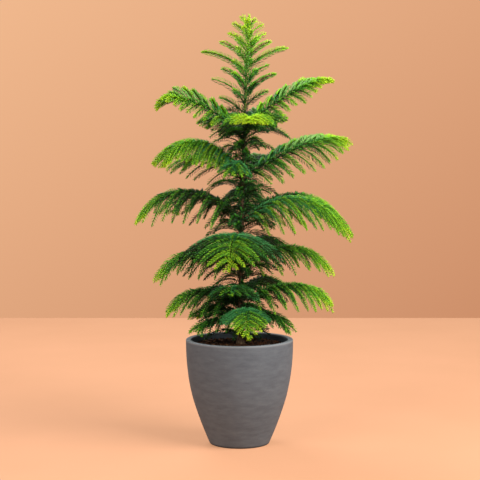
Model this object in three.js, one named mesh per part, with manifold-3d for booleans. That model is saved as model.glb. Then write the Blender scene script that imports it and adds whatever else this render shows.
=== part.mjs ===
// A young potted Norfolk Island pine: a slim trunk with six whorls of arching boughs,
// each carrying a frond of needle-clad branchlets, in a charcoal pot filled with soil.
// Units are millimetres. +Z is up, +X is to the right, and the plant is seen from -Y.
// The origin is the centre of the pot's flat underside.

import * as THREE from "three";
import { mergeVertices } from "three/addons/utils/BufferGeometryUtils.js";
import Module from "manifold-3d";

const wasm = await Module();
wasm.setup();

// Driving dimensions

const GAP = 0.3; // clearance between neighbouring pieces
const SLIVER = 0.03; // edges shorter than this are collapsed
const UP = new THREE.Vector3(0, 0, 1);
const BACK = new THREE.Vector3(0, 1, 0);

const POT = {
  height: 208,
  rimRadius: 106,
  footRadius: 59,
  wall: 11,
  floor: 14,
  edge: 2, // rounding of the rim and the foot
  flare: new THREE.Vector2(31.5, 76), // pull of the wall's curve away from the foot
  shoulder: 88, // height below the rim where the wall turns upright
  sides: 32,
  wallSteps: 6,
  linePoints: 60, // points that the wall's curve is read from
};

const SOIL = { belowRim: 13, mound: 3, padRadius: 22 };

const TRUNK = {
  top: 842,
  footX: 2,
  lean: 17, // how far the tip stands to the right of the foot
  sway: 4, // bow towards the back at half height
  footRadius: 5.4,
  tipRadius: 0.9,
  flareRadius: 4, // extra radius of the root flare at the soil
  flareHeight: 11,
  sides: 8,
  steps: 16,
  easing: 1.35, // above 1, the steps are closer near the soil
};

const BOUGH = {
  rootRadius: 2.4,
  rootShare: 0.62, // the root is no thicker than this share of the trunk
  tipRadius: 0.8,
  bareShare: 0.16, // part of a bough's curve that is bare of foliage
  sessileShare: 0.03, // the same where the foliage sits on the trunk
  sides: 5,
  steps: 3,
};

const SPRAY = {
  pitch: 16.7, // reach of bough for each branchlet
  first: 0.21, // places of the first and last branchlets along the bough's curve
  last: 0.93,
  longestAt: 0.4,
  fadesIn: 0.42, // run of curve over which their length falls to nothing towards the trunk
  innerFade: 3.5, // how late that fall comes
  fadesOut: 0.61, // the same run towards the tip
  shortest: 0.12, // least share of the spread
  rootAngle: 58, // degrees between a branchlet and its bough, near the trunk and at the tip
  tipAngle: 40,
  level: new THREE.Vector3(1, 1, 0.12), // share of the bough's own slope that it follows
  rollFrom: 0.4, // places between which the roll of a frond fades out
  rollTo: 0.85,
  fullTilt: 40, // degrees of roll at which the next four act in full
  farGain: 0.45, // length gained on the raised flank
  nearLoss: 0.35, // length lost on the lowered flank
  sweep: 0.3, // angle lost on both
  stiffness: 0.55, // droop lost on the raised flank
  coreRadius: 2.9,
  needleOut: 9.5,
  needleForward: 10,
  bareRoot: 0.24, // share of a branchlet that is bare next to its bough
  segment: 33, // length of branchlet for each set of three needles
  mostSets: 3,
  jitter: 0.07, // share by which lengths vary
  angleJitter: 3, // degrees
  liftJitter: 4,
  sagJitter: 0.1,
};

const SHOOT = {
  pointFrom: 0.88, // place where a shoot's end begins to taper to its point
  needleShrink: 0.45, // share of their length that needles lose towards the point
  rootShare: 0.2, // radius at the root, so that the root stays inside its carrier
  taper: 0.45,
};

const STEM = {
  thickening: 1.15, // a three-sided stem against its round bough
  bareShare: 0.8,
  bareSteps: 4,
  segments: 1,
  needleOut: 7,
  needleForward: 9,
};

const LEADER = {
  bottom: 642,
  sheath: 1.5, // thickness of the green sheath round the trunk's top
  rootShare: 0.6, // part of that thickness at which a shoot starts
  cap: 3, // how far the sheath closes above the trunk's tip
  steps: 8,
  sides: 6,
  pairs: 15,
  firstShoot: 659,
  lastShoot: 825,
  climb: 0.9, // below 1, the pairs close up towards the top
  turn: 1.2, // radians between one pair and the next
  turnJitter: 0.2,
  stagger: 14, // how far the two shoots of the lowest pair stand one above the other
  evens: 1.3, // how fast that fades towards the top
  shortest: 14, // a shoot's sideways run at the top
  growth: 0.5, // run gained for each millimetre lower down
  longest: 46,
  longPairs: { 2: 1.25, 6: 1.7 },
  rise: 1.36, // slope at a short shoot's root
  riseLoss: 0.0056, // slope lost for each millimetre of run
  droop: 0.42,
  jitter: 0.16,
  coreRadius: 2.4,
  bareRoot: 0.3,
  needleOut: 6.5,
  needleForward: 7.5,
};

// The whorls, from the top down. A bough's curve has two inner control points, at the
// shares "knee" and "crown" of its reach. Its branchlets are at most "spread" long and get
// shorter towards its tip, the later the higher "fade" is. They rise by "lift" degrees, less
// on the front flank and more on the back one by "roll", and sag by "droop" times their length.
// A bough states the height "at" which it leaves the trunk, its azimuth in degrees
// counter-clockwise from +X seen from above, its reach, and the heights of its knee, its crown
// and its tip above that place. It may also state its shares of the whorl's spread as "width",
// of the fade as "taper", of the droop, of the branchlets' angle as "fan", and of the roll.
const WHOLE = { width: 1, taper: 1, droop: 1, fan: 1, roll: 1 };
const TIERS = [
  {
    knee: 0.4, crown: 0.8, spread: 54, fade: 2.2, lift: 30, roll: 38, droop: 0.42,
    boughs: {
      left: { at: 615, azimuth: 182, reach: 170, heights: [50, 92, 46], width: 0.88, fan: 1.35 },
      right: { at: 629, azimuth: 8, reach: 174, heights: [52, 96, 86], width: 0.85, fan: 1.3 },
      front: {
        at: 608, azimuth: 275, reach: 145, heights: [22, 40, 27],
        width: 1.15, droop: 1.4, fan: 1.4,
      },
      back_right: { at: 620, azimuth: 62, reach: 140, heights: [34, 42, 12] },
      back_left: { at: 612, azimuth: 122, reach: 140, heights: [34, 44, 12] },
    },
  },
  {
    knee: 0.4, crown: 0.8, spread: 76, fade: 2.6, lift: 18, roll: 36, droop: 0.5,
    boughs: {
      left: {
        at: 538, azimuth: 208, reach: 168, heights: [74, 76, 14],
        width: 0.8, droop: 1.5, fan: 0.8, roll: 0.25,
      },
      right: {
        at: 523, azimuth: 10, reach: 206, heights: [60, 86, 76], width: 0.98, fan: 1.2, roll: 0.75,
      },
      front: { at: 534, azimuth: 256, reach: 80, heights: [26, 28, 2], width: 0.55, droop: 1.4 },
      back_right: { at: 514, azimuth: 70, reach: 170, heights: [50, 68, 30], width: 0.8 },
      back_left: { at: 520, azimuth: 136, reach: 168, heights: [50, 66, 20] },
    },
  },
  {
    knee: 0.45, crown: 0.75, spread: 84, fade: 3.5, lift: 12, roll: 8, droop: 0.84,
    boughs: {
      left: { at: 449, azimuth: 183, reach: 196, heights: [66, 66, 0], width: 0.88, fan: 1.2 },
      right: { at: 437, azimuth: 345, reach: 193, heights: [78, 56, -10], width: 0.92, fan: 0.65 },
      back_right: { at: 454, azimuth: 32, reach: 202, heights: [46, 44, 8], width: 0.9 },
      back: { at: 443, azimuth: 88, reach: 180, heights: [58, 82, 20] },
      back_left: {
        at: 434, azimuth: 138, reach: 190, heights: [62, 88, 16], width: 0.8, droop: 0.8,
      },
    },
  },
  {
    knee: 0.45, crown: 0.75, spread: 72, fade: 3.5, lift: 10, roll: 4, droop: 0.8,
    boughs: {
      left: { at: 350, azimuth: 187, reach: 156, heights: [46, 40, -17], width: 0.85 },
      right: { at: 358, azimuth: 4, reach: 167, heights: [42, 40, -8], width: 0.9 },
      front: {
        at: 351, azimuth: 260, reach: 130, heights: [92, 80, 4],
        width: 1.35, taper: 0.5, droop: 0.62, fan: 1.45,
      },
      back_right: { at: 365, azimuth: 62, reach: 155, heights: [40, 52, 6] },
      back_left: { at: 357, azimuth: 128, reach: 155, heights: [32, 40, 0] },
    },
  },
  {
    knee: 0.45, crown: 0.75, spread: 62, fade: 3.5, lift: 8, roll: 4, droop: 0.76,
    boughs: {
      left: { at: 275, azimuth: 184, reach: 131, heights: [38, 42, -8], width: 0.95 },
      right: { at: 284, azimuth: 356, reach: 171, heights: [38, 44, 0] },
      front: {
        at: 278, azimuth: 258, reach: 76, heights: [36, 46, 26],
        width: 0.8, taper: 0.6, droop: 0.5, fan: 1.45,
      },
      back_right: { at: 291, azimuth: 58, reach: 134, heights: [30, 44, 6] },
      back_left: { at: 283, azimuth: 122, reach: 134, heights: [20, 26, 0] },
    },
  },
  {
    knee: 0.45, crown: 0.75, spread: 46, fade: 3.5, lift: 6, roll: 0, droop: 0.68, sessile: true,
    boughs: {
      front: {
        at: 244, azimuth: 277, reach: 116, heights: [32, 48, -20],
        width: 1.15, taper: 0.7, droop: 0.6, fan: 1.15,
      },
      left: { at: 246, azimuth: 204, reach: 88, heights: [8, 4, -16], droop: 0.75 },
      right: { at: 247, azimuth: 350, reach: 92, heights: [20, 20, -24], droop: 0.75 },
      back_right: { at: 257, azimuth: 66, reach: 92, heights: [16, 18, -24] },
      back_left: {
        at: 252, azimuth: 146, reach: 104, heights: [20, 22, -10], width: 0.9, droop: 0.7,
      },
    },
  },
];

const MATERIALS = {
  pot: new THREE.MeshStandardMaterial({ color: 0x626062, roughness: 0.85, metalness: 0 }),
  soil: new THREE.MeshStandardMaterial({ color: 0x2f1b10, roughness: 1, metalness: 0 }),
  bark: new THREE.MeshStandardMaterial({ color: 0x5d4630, roughness: 0.9, metalness: 0 }),
  foliage: new THREE.MeshStandardMaterial({ color: 0x2f7330, roughness: 0.55, metalness: 0 }),
  leader: new THREE.MeshStandardMaterial({ color: 0x7fae32, roughness: 0.55, metalness: 0 }),
};

// Small helpers

const radians = THREE.MathUtils.degToRad;
const mix = THREE.MathUtils.lerp;

// A repeatable number from -1 to 1 for a bough and a branchlet on it.
function wobble(bough, twig, channel) {
  const wave = Math.sin(bough * 12.9898 + twig * 78.233 + channel * 37.719) * 43758.5453;
  return 2 * (wave - Math.floor(wave)) - 1;
}

// Joining and cutting

function solidOf(geometry) {
  const bare = new THREE.BufferGeometry();
  bare.setAttribute("position", geometry.getAttribute("position"));
  if (geometry.index) bare.setIndex(geometry.index);
  const merged = mergeVertices(bare, 1e-4);
  return new wasm.Manifold(
    new wasm.Mesh({
      numProp: 3,
      vertProperties: new Float32Array(merged.getAttribute("position").array),
      triVerts: new Uint32Array(merged.index.array),
    }),
  );
}

function geometryOf(solid) {
  const mesh = solid.getMesh();
  const geometry = new THREE.BufferGeometry();
  geometry.setAttribute("position", new THREE.BufferAttribute(mesh.vertProperties, 3));
  geometry.setIndex(new THREE.BufferAttribute(mesh.triVerts, 1));
  geometry.computeVertexNormals();
  return geometry;
}

// The largest body of a solid: slivers and scraps that a cut or a join leaves are dropped.
function mainBody(solid) {
  const bodies = solid.simplify(SLIVER).decompose();
  return bodies.reduce((best, body) => (body.volume() > best.volume() ? body : best));
}

function boxesNear(a, b, reach) {
  const one = a.boundingBox();
  const two = b.boundingBox();
  return [0, 1, 2].every(
    (i) => one.min[i] < two.max[i] + reach && two.min[i] < one.max[i] + reach,
  );
}

function isClear(solid, others) {
  return others.every(
    (other) => !boxesNear(solid, other, 2 * GAP) || solid.minGap(other, 2 * GAP) > GAP,
  );
}

// Sweeping rings along a path

// The ring of a path at a place from 0 to 1: across, up and along make a right-handed frame.
function frameAt(path, place, reference) {
  const step = 1e-3;
  const along = path(place + step).sub(path(place - step)).normalize();
  const across = new THREE.Vector3().crossVectors(reference, along).normalize();
  const up = new THREE.Vector3().crossVectors(along, across);
  return { centre: path(place), across, up, along };
}

function ringAt(frame, radius, sides) {
  const ring = [];
  for (let i = 0; i < sides; i++) {
    const angle = Math.PI / 2 + (2 * Math.PI * i) / sides;
    ring.push(
      frame.centre
        .clone()
        .addScaledVector(frame.across, radius * Math.cos(angle))
        .addScaledVector(frame.up, radius * Math.sin(angle)),
    );
  }
  return ring;
}

function trianglesGeometry(triangles) {
  return new THREE.BufferGeometry().setFromPoints(triangles.flat());
}

// A limb with flat ends that tapers along its path.
function limbSolid(path, radius, { to = 1, sides, steps, reference = UP }) {
  const rings = [];
  for (let i = 0; i <= steps; i++) {
    const place = (to * i) / steps;
    rings.push(ringAt(frameAt(path, place, reference), radius(place), sides));
  }
  const triangles = [];
  for (let i = 0; i < steps; i++) {
    for (let s = 0; s < sides; s++) {
      const [a, b] = [rings[i][s], rings[i][(s + 1) % sides]];
      const [c, d] = [rings[i + 1][s], rings[i + 1][(s + 1) % sides]];
      triangles.push([a, b, d], [a, d, c]);
    }
  }
  for (let s = 1; s < sides - 1; s++) {
    triangles.push([rings[0][0], rings[0][s + 1], rings[0][s]]);
    triangles.push([rings[steps][0], rings[steps][s], rings[steps][s + 1]]);
  }
  return solidOf(trianglesGeometry(triangles));
}

// A three-sided shoot that ends in a point. It is bare up to the place bareTo, and from
// there on a needle stands out of each side of each segment.
function shootSolid(path, radius, { from = 0, bareTo, bareSteps = 1, segments, out, forward }) {
  const places = [];
  for (let i = 0; i < bareSteps; i++) places.push(mix(from, bareTo, i / bareSteps));
  for (let i = 0; i <= segments; i++) places.push(mix(bareTo, SHOOT.pointFrom, i / segments));
  const frames = places.map((place) => {
    const frame = frameAt(path, place, UP);
    return { ...frame, place, ring: ringAt(frame, radius(place), 3) };
  });
  const triangles = [];
  for (let i = 0; i < frames.length - 1; i++) {
    const [here, next] = [frames[i], frames[i + 1]];
    for (let s = 0; s < 3; s++) {
      const [a, b] = [here.ring[s], here.ring[(s + 1) % 3]];
      const [c, d] = [next.ring[s], next.ring[(s + 1) % 3]];
      triangles.push([a, b, d]);
      if (i < bareSteps) {
        triangles.push([a, d, c]);
        continue;
      }
      const side = c.clone().add(d).multiplyScalar(0.5).sub(next.centre).normalize();
      const shrink = 1 - SHOOT.needleShrink * next.place;
      const tip = next.centre.clone();
      tip.addScaledVector(side, out * shrink).addScaledVector(next.along, forward * shrink);
      triangles.push([a, d, tip], [d, c, tip], [c, a, tip]);
    }
  }
  const root = frames[0].ring;
  const end = frames.at(-1).ring;
  const point = path(1);
  triangles.push([root[0], root[2], root[1]]);
  for (let s = 0; s < 3; s++) triangles.push([end[s], end[(s + 1) % 3], point]);
  return solidOf(trianglesGeometry(triangles));
}

// The radius of a shoot that swells from a thin root to full size at bareTo, then tapers.
function spindle(radius, bareTo) {
  return (place) => {
    const swelling = mix(SHOOT.rootShare, 1, Math.min(1, place / bareTo));
    return radius * swelling * (1 - SHOOT.taper * place);
  };
}

// The pot and its soil

const soilTop = POT.height - SOIL.belowRim;
const trunkFoot = soilTop + SOIL.mound + GAP;

// The pot wall's outer line from the foot to the rim.
const wallLine = new THREE.CubicBezierCurve(
  new THREE.Vector2(POT.footRadius, 0),
  new THREE.Vector2(POT.footRadius, 0).add(POT.flare),
  new THREE.Vector2(POT.rimRadius, POT.height - POT.shoulder),
  new THREE.Vector2(POT.rimRadius, POT.height),
);

// Points of the wall line moved inwards, between two heights.
function wallPoints(inset, low, high) {
  const line = wallLine.getPoints(POT.linePoints);
  const radiusAt = (height) => {
    const next = Math.max(1, line.findIndex((p) => p.y >= height));
    const [a, b] = [line[next - 1], line[next]];
    return mix(a.x, b.x, (height - a.y) / (b.y - a.y)) - inset;
  };
  return Array.from({ length: POT.wallSteps + 1 }, (_, i) => {
    const height = mix(low, high, i / POT.wallSteps);
    return new THREE.Vector2(radiusAt(height), height);
  });
}

function potSolid() {
  const outside = wallPoints(0, POT.edge, POT.height - POT.edge);
  const inside = wallPoints(POT.wall, POT.floor, POT.height - POT.edge).reverse();
  const rimX = POT.rimRadius;
  const profile = [
    new THREE.Vector2(0, 0),
    new THREE.Vector2(POT.footRadius - POT.edge, 0),
    ...outside,
    new THREE.Vector2(rimX - POT.edge, POT.height),
    new THREE.Vector2(rimX - POT.wall + POT.edge, POT.height),
    ...inside,
    new THREE.Vector2(0, POT.floor),
  ];
  return solidOf(uprightLathe(profile));
}

function soilSolid() {
  const clear = 2 * GAP; // because the facets of the two walls don't line up
  const side = wallPoints(POT.wall + clear, POT.floor + GAP, soilTop);
  const padTop = soilTop + SOIL.mound;
  const profile = [
    new THREE.Vector2(0, POT.floor + GAP),
    ...side,
    new THREE.Vector2(SOIL.padRadius, padTop),
    new THREE.Vector2(0, padTop),
  ];
  return solidOf(uprightLathe(profile));
}

// A turned shape about +Z. A lathe turns about +Y, so it is stood up.
function uprightLathe(profile) {
  return new THREE.LatheGeometry(profile, POT.sides).rotateX(Math.PI / 2);
}

// The trunk

function trunkPoint(height) {
  const share = (height - trunkFoot) / (TRUNK.top - trunkFoot);
  return new THREE.Vector3(
    TRUNK.footX + TRUNK.lean * share * share * Math.sign(share),
    TRUNK.sway * Math.sin(Math.PI * share),
    height,
  );
}

function trunkRadius(height) {
  const share = (height - trunkFoot) / (TRUNK.top - trunkFoot);
  const flare = TRUNK.flareRadius * Math.exp((trunkFoot - height) / TRUNK.flareHeight);
  return mix(TRUNK.footRadius, TRUNK.tipRadius, share) + flare;
}

// The trunk from its flat cut at the soil to its tip, or a swollen copy to cut with.
function trunkSolid(swell, low, high) {
  const heightAt = (place) => {
    const eased = place < 0 ? place : place ** TRUNK.easing;
    return mix(low, high, eased);
  };
  return limbSolid(
    (place) => trunkPoint(heightAt(place)),
    (place) => trunkRadius(heightAt(place)) + swell,
    { sides: TRUNK.sides, steps: TRUNK.steps, reference: BACK },
  ).intersect(slab(low, high));
}

// A block between two heights, wide enough to trim the trunk's ends level.
function slab(low, high) {
  const width = 2 * POT.rimRadius;
  return solidOf(
    new THREE.BoxGeometry(width, width, high - low).translate(0, 0, (low + high) / 2),
  );
}

// Boughs

// The path of a bough: a cubic curve that rises, crests and droops.
function boughPath(tier, { at, azimuth, reach, heights }) {
  const outward = new THREE.Vector3(Math.cos(radians(azimuth)), Math.sin(radians(azimuth)), 0);
  const root = trunkPoint(at);
  const shares = [tier.knee, tier.crown, 1];
  const controls = shares.map((share, i) =>
    root.clone().addScaledVector(outward, share * reach).addScaledVector(UP, heights[i]),
  );
  const curve = new THREE.CubicBezierCurve3(root, ...controls);
  return (place) => curve.getPoint(place);
}

function boughRadius(height) {
  const root = Math.min(BOUGH.rootRadius, BOUGH.rootShare * trunkRadius(height));
  return (place) => mix(root, BOUGH.tipRadius, place);
}

// Branchlets

// The share of its whorl's spread that a branchlet has at a place along the bough.
function fullness(place, fade) {
  const off = place - SPRAY.longestAt;
  const inner = off < 0;
  const faded = inner ? (-off / SPRAY.fadesIn) ** SPRAY.innerFade : (off / SPRAY.fadesOut) ** fade;
  return Math.max(SPRAY.shortest, 1 - faded);
}

// A branchlet leaves its bough sideways and forward, and droops. On a rolled frond the back
// flank is raised, which makes its branchlets longer and stiffer, and the front one lowered.
function branchlet({ path: bough, tier, shares, number }, twig, place) {
  const vary = (amount, channel) => amount * wobble(number, twig, channel);
  const side = twig % 2 ? 1 : -1;
  const frame = frameAt(bough, place, UP);
  const settled = THREE.MathUtils.smoothstep(place, SPRAY.rollFrom, SPRAY.rollTo);
  const tilt = tier.roll * shares.roll * (1 - settled) * side * frame.across.y;
  const tilted = tilt / SPRAY.fullTilt;

  const full = tier.spread * shares.width * fullness(place, tier.fade * shares.taper);
  const gain = tilt > 0 ? SPRAY.farGain : SPRAY.nearLoss;
  const length = full * (1 + vary(SPRAY.jitter, 1)) * (1 + gain * tilted);

  const fan = shares.fan * (1 - SPRAY.sweep * Math.abs(tilted));
  const straight = fan * mix(SPRAY.rootAngle, SPRAY.tipAngle, place);
  const angle = radians(straight + vary(SPRAY.angleJitter, 2));
  const lift = radians(tier.lift + tilt + vary(SPRAY.liftJitter, 3));
  const heading = frame.along
    .clone()
    .multiply(SPRAY.level)
    .normalize()
    .multiplyScalar(Math.cos(angle))
    .addScaledVector(frame.across, side * Math.sin(angle) * Math.cos(lift))
    .addScaledVector(frame.up, Math.sin(angle) * Math.sin(lift));
  const droop = tier.droop * shares.droop * (1 - SPRAY.stiffness * Math.max(0, tilted));
  const sag = droop * (1 + vary(SPRAY.sagJitter, 4)) * length;

  const path = (u) =>
    frame.centre
      .clone()
      .addScaledVector(heading, length * u)
      .addScaledVector(UP, -sag * u * Math.abs(u));
  return { path, length };
}

function branchletSolids(limb) {
  const count = Math.round(limb.reach / SPRAY.pitch);
  return Array.from({ length: count }, (_, twig) => {
    const place = mix(SPRAY.first, SPRAY.last, twig / (count - 1));
    const { path, length } = branchlet(limb, twig, place);
    return shootSolid(path, spindle(SPRAY.coreRadius, SPRAY.bareRoot), {
      bareTo: SPRAY.bareRoot,
      segments: THREE.MathUtils.clamp(Math.round(length / SPRAY.segment), 1, SPRAY.mostSets),
      out: SPRAY.needleOut,
      forward: SPRAY.needleForward,
    });
  });
}

// The stem of a mass of foliage: the rest of its bough, beyond the bare part.
function stemSolid({ path, radius, reach, bare }) {
  return shootSolid(path, (place) => STEM.thickening * radius(place), {
    from: bare + GAP / reach,
    bareTo: STEM.bareShare,
    bareSteps: STEM.bareSteps,
    segments: STEM.segments,
    out: STEM.needleOut,
    forward: STEM.needleForward,
  });
}

// One mass of foliage: a stem with those branchlets that stay clear of every other piece.
function foliageSolid(limb, stem, others) {
  const kept = branchletSolids(limb).filter((shoot) => isClear(shoot, others));
  return mainBody(wasm.Manifold.union([stem, ...kept]));
}

// The leader: a green sheath round the top of the trunk, with short shoots in crossed pairs

function leaderSheath() {
  const crown = TRUNK.top + LEADER.cap;
  const heightAt = (place) => mix(LEADER.bottom, crown, place);
  const outer = limbSolid(
    (place) => trunkPoint(heightAt(place)),
    (place) => trunkRadius(heightAt(place)) + LEADER.sheath,
    { sides: LEADER.sides, steps: LEADER.steps, reference: BACK },
  );
  return outer.subtract(trunkSolid(GAP, trunkFoot, TRUNK.top + GAP));
}

// The path of a shoot: it leaves the sheath at a slant and bends over.
function leaderShootPath(height, azimuth, run) {
  const outward = new THREE.Vector3(Math.cos(azimuth), Math.sin(azimuth), 0);
  const inSheath = trunkRadius(height) + LEADER.rootShare * LEADER.sheath;
  const root = trunkPoint(height).addScaledVector(outward, inSheath);
  const rise = LEADER.rise - LEADER.riseLoss * run;
  return (u) =>
    root
      .clone()
      .addScaledVector(outward, run * u)
      .addScaledVector(UP, run * (rise * u - LEADER.droop * u * Math.abs(u)));
}

function leaderShoots() {
  const shoots = [];
  for (let pair = 0; pair < LEADER.pairs; pair++) {
    const young = pair / (LEADER.pairs - 1);
    const height = mix(LEADER.firstShoot, LEADER.lastShoot, young ** LEADER.climb);
    const grown = LEADER.shortest + LEADER.growth * (LEADER.lastShoot - height);
    const factor = LEADER.longPairs[pair] ?? 1;
    const stagger = LEADER.stagger * (1 - LEADER.evens * young);
    for (const half of [0, 1]) {
      const jitter = 1 + LEADER.jitter * wobble(pair, half, 5);
      const run = factor * Math.min(LEADER.longest, grown) * jitter;
      const turn = LEADER.turn * (pair % 2) + LEADER.turnJitter * wobble(pair, half, 6);
      const path = leaderShootPath(height + stagger * (0.5 - half), Math.PI * half + turn, run);
      shoots.push(
        shootSolid(path, spindle(LEADER.coreRadius, LEADER.bareRoot), {
          bareTo: LEADER.bareRoot,
          segments: factor > 1 ? 2 : 1,
          out: LEADER.needleOut,
          forward: LEADER.needleForward,
        }),
      );
    }
  }
  return shoots;
}

function leaderSolid(others) {
  const kept = leaderShoots().filter((shoot) => isClear(shoot, others));
  return mainBody(wasm.Manifold.union([leaderSheath(), ...kept]));
}

// Assembly

const plant = new THREE.Group();

function addPiece(name, solid, material) {
  const mesh = new THREE.Mesh(geometryOf(solid), material);
  mesh.name = name;
  plant.add(mesh);
  return solid;
}

const pot = addPiece("pot", potSolid(), MATERIALS.pot);
const soil = addPiece("soil", soilSolid(), MATERIALS.soil);
const trunk = addPiece("trunk", trunkSolid(0, trunkFoot, TRUNK.top), MATERIALS.bark);
const swollenTrunk = trunkSolid(GAP, trunkFoot, TRUNK.top);

const limbs = TIERS.flatMap((tier, t) =>
  Object.entries(tier.boughs).map(([side, bough], i) => ({
    name: `tier_${t + 1}_${side}`,
    number: 10 * t + i,
    tier,
    shares: { ...WHOLE, ...bough },
    reach: bough.reach,
    bare: tier.sessile ? BOUGH.sessileShare : BOUGH.bareShare,
    path: boughPath(tier, bough),
    radius: boughRadius(bough.at),
  })),
);

const boughs = limbs
  .filter((limb) => !limb.tier.sessile)
  .map((limb) => {
    const whole = limbSolid(limb.path, limb.radius, {
      to: limb.bare,
      sides: BOUGH.sides,
      steps: BOUGH.steps,
    });
    return addPiece(`${limb.name}_bough`, mainBody(whole.subtract(swollenTrunk)), MATERIALS.bark);
  });

const fixed = [pot, soil, trunk, ...boughs];
const stems = limbs.map(stemSolid);
const masses = [];
limbs.forEach((limb, i) => {
  const mass = foliageSolid(limb, stems[i], [...fixed, ...masses, ...stems.slice(i + 1)]);
  masses.push(mainBody(mass.subtract(swollenTrunk)));
  addPiece(`${limb.name}_foliage`, masses.at(-1), MATERIALS.foliage);
});
addPiece("leader_foliage", leaderSolid([trunk, ...boughs, ...masses]), MATERIALS.leader);

export default plant;
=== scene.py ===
"""Looks of a young Norfolk Island pine, an araucaria in its juvenile form, in a charcoal pot.

The boughs, twigs and needles grow by the rule of the solids, carried on to finer twigs.
Lengths are in millimetres until a mesh is made. Angles are in degrees. Turns about the trunk or a shoot,
the jitter of needles and the slope of chips are in radians.
"""

import math
from collections import namedtuple
from types import SimpleNamespace as Values

import bpy
import numpy as np
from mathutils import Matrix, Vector


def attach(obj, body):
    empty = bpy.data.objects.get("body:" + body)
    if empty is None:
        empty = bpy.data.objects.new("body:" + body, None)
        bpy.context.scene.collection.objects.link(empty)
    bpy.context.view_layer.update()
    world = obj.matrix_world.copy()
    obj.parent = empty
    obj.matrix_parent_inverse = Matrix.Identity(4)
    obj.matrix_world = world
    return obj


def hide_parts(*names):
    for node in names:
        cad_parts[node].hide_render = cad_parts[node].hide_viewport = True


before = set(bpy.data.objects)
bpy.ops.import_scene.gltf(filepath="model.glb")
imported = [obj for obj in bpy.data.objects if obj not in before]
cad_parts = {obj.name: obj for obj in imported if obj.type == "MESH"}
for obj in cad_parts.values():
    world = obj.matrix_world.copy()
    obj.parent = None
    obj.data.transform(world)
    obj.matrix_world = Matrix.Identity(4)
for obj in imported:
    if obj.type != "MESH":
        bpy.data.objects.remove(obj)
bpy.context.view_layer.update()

MM = 0.001
BODY = "root"
UP = np.array((0.0, 0.0, 1.0))
SIDEWAYS = np.array((1.0, 0.0, 0.0))
FULL_TURN = 2 * math.pi
GOLDEN_ANGLE = math.pi * (3 - math.sqrt(5))
rng = np.random.default_rng(7)

# The camera of the photograph, in metres and degrees
CAMERA = Values(place=(0.001, -2.85, 0.624), tilt=4.41, focal_pixels=1452, image_pixels=480, sensor=36)

# The pot: radii of rim and foot, the handles of its curve (flare, shoulder), its edges and its mesh.
# A painted highlight on the rim's top edge comes in between these depths, in edges, and a painted contact
# shadow at the foot below a height.
POT = Values(
    height=208, rim=106, foot=59, wall=11, floor=14, flare=(31.5, 76), shoulder=88, worn=(2.2, 0.4), damp=5,
    edge=2, edge_steps=7, lip=2, foot_edge=3.5, foot_inset=2.5, foot_steps=6, underside=0.5,
    sides=192, wall_steps=64, inner_steps=26, samples=60,
)
CAST = Values(cells=24, finer=9, swell=0.5, swell_height=30, grain=0.16, grain_height=3.5, flat_foot=6)

# The soil, with the width and depth of its lumps, and the bark chips on it by tone, share and colours
SOIL = Values(
    edge=195, middle=198, clear=0.3, brim=1, lumps=((9, 2.4), (3.5, 1.6)), sides=144, rings=40, steps=20,
)
CHIP = Values(
    count=1500, corners=6, length=(3, 9), width=(0.35, 0.8), thick=(1.2, 3.2), outline=(0.7, 1.15),
    uneven=0.25, slope=0.3, ride=0.25, margin=5, hole=8,
)
CHIP_TONES = dict(
    dark=(0.45, (18, 9, 5), (44, 25, 13)),
    russet=(0.42, (40, 20, 9), (84, 46, 22)),
    pale=(0.13, (66, 42, 24), (112, 78, 48)),
)

# The trunk, from its cut at the soil to its tip, and the relief of its bark as shares of its radius
TRUNK = Values(
    foot=198.3, top=842, foot_x=2, lean=17, sway=4, foot_radius=5.4, tip_radius=0.9, flare=4,
    flare_height=11, flare_limit=1.4, bark_top=668, sunk=6, sides=28, step=1.25, shoot_root=0.5,
)
BARK = Values(
    cells=9, least=0.86, plate=0.2, plate_height=5.5, wave=0.4, wave_height=7,
    flake=0.13, flake_height=1.9, flake_rows=3,
    crack=0.12, crack_height=8, crack_rows=2, crack_offset=3, crack_width=0.07,
    ring=0.03, ring_height=1.7, ring_drift=2, drift_height=12,
    collar=0.16, collar_drop=3, collar_height=6,
)

# Boughs, the relief of old needle bases on them, and how fresh their own needles are along them, darker
# towards the trunk as old growth and as painted shade along the spine
BOUGH = Values(
    root_radius=2.4, root_share=0.62, tip_radius=0.8, bare=0.03, sides=9, step=3.5, curve=1.08, dense=1.7,
)
BASES = Values(spirals=3, turns=190, rows=310, depth=0.16, lumps=0.18, lumps_round=1.6, lumps_along=60)
BOUGH_AGE_AND_SHADE = Values(
    outer=0.55, outer_from=0.35, tip=0.4, tip_from=0.86, older=0.22, older_to=0.6, crest=0.12,
)

# Twigs on a bough: their pitch, lengths, angles, mesh and needles
TWIG = Values(
    pitch=3, pitch_share=0.09, first=0.09, last=0.97,
    longest_at=0.4, least=0.12, fades_in=0.42, inner_fade=3.5, fades_out=0.61,
    root_angle=58, tip_angle=40, level=0.12, bend=0.8,
    jitter=0.07, angle_jitter=3, lift_jitter=4, sag_jitter=0.1,
    radii=(0.9, 0.4), sides=5, steps=7, bare=0.04, slim=0.35, slim_from=0.65, old_dense=0.78, dense_at=0.3,
)

# How twigs change on a bough rolled towards the camera: longer behind, shorter in front, stiffer and swept
TILT = Values(
    full=40, raised=8, fades_from=0.4, fades_to=0.85, far_gain=0.45, near_loss=0.35, sweep=0.3, stiff=0.55,
)

# How fresh a twig's needles are, by its place on the bough and along it, and where a twig counts as young
TWIG_AGE = Values(
    mood=0.1, outer_from=0.45, outer_root=0.45, outer_gain=0.55, tip_power=1.5,
    judged_at=0.6, young_above=0.4, teal_to=0.3,
)

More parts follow.
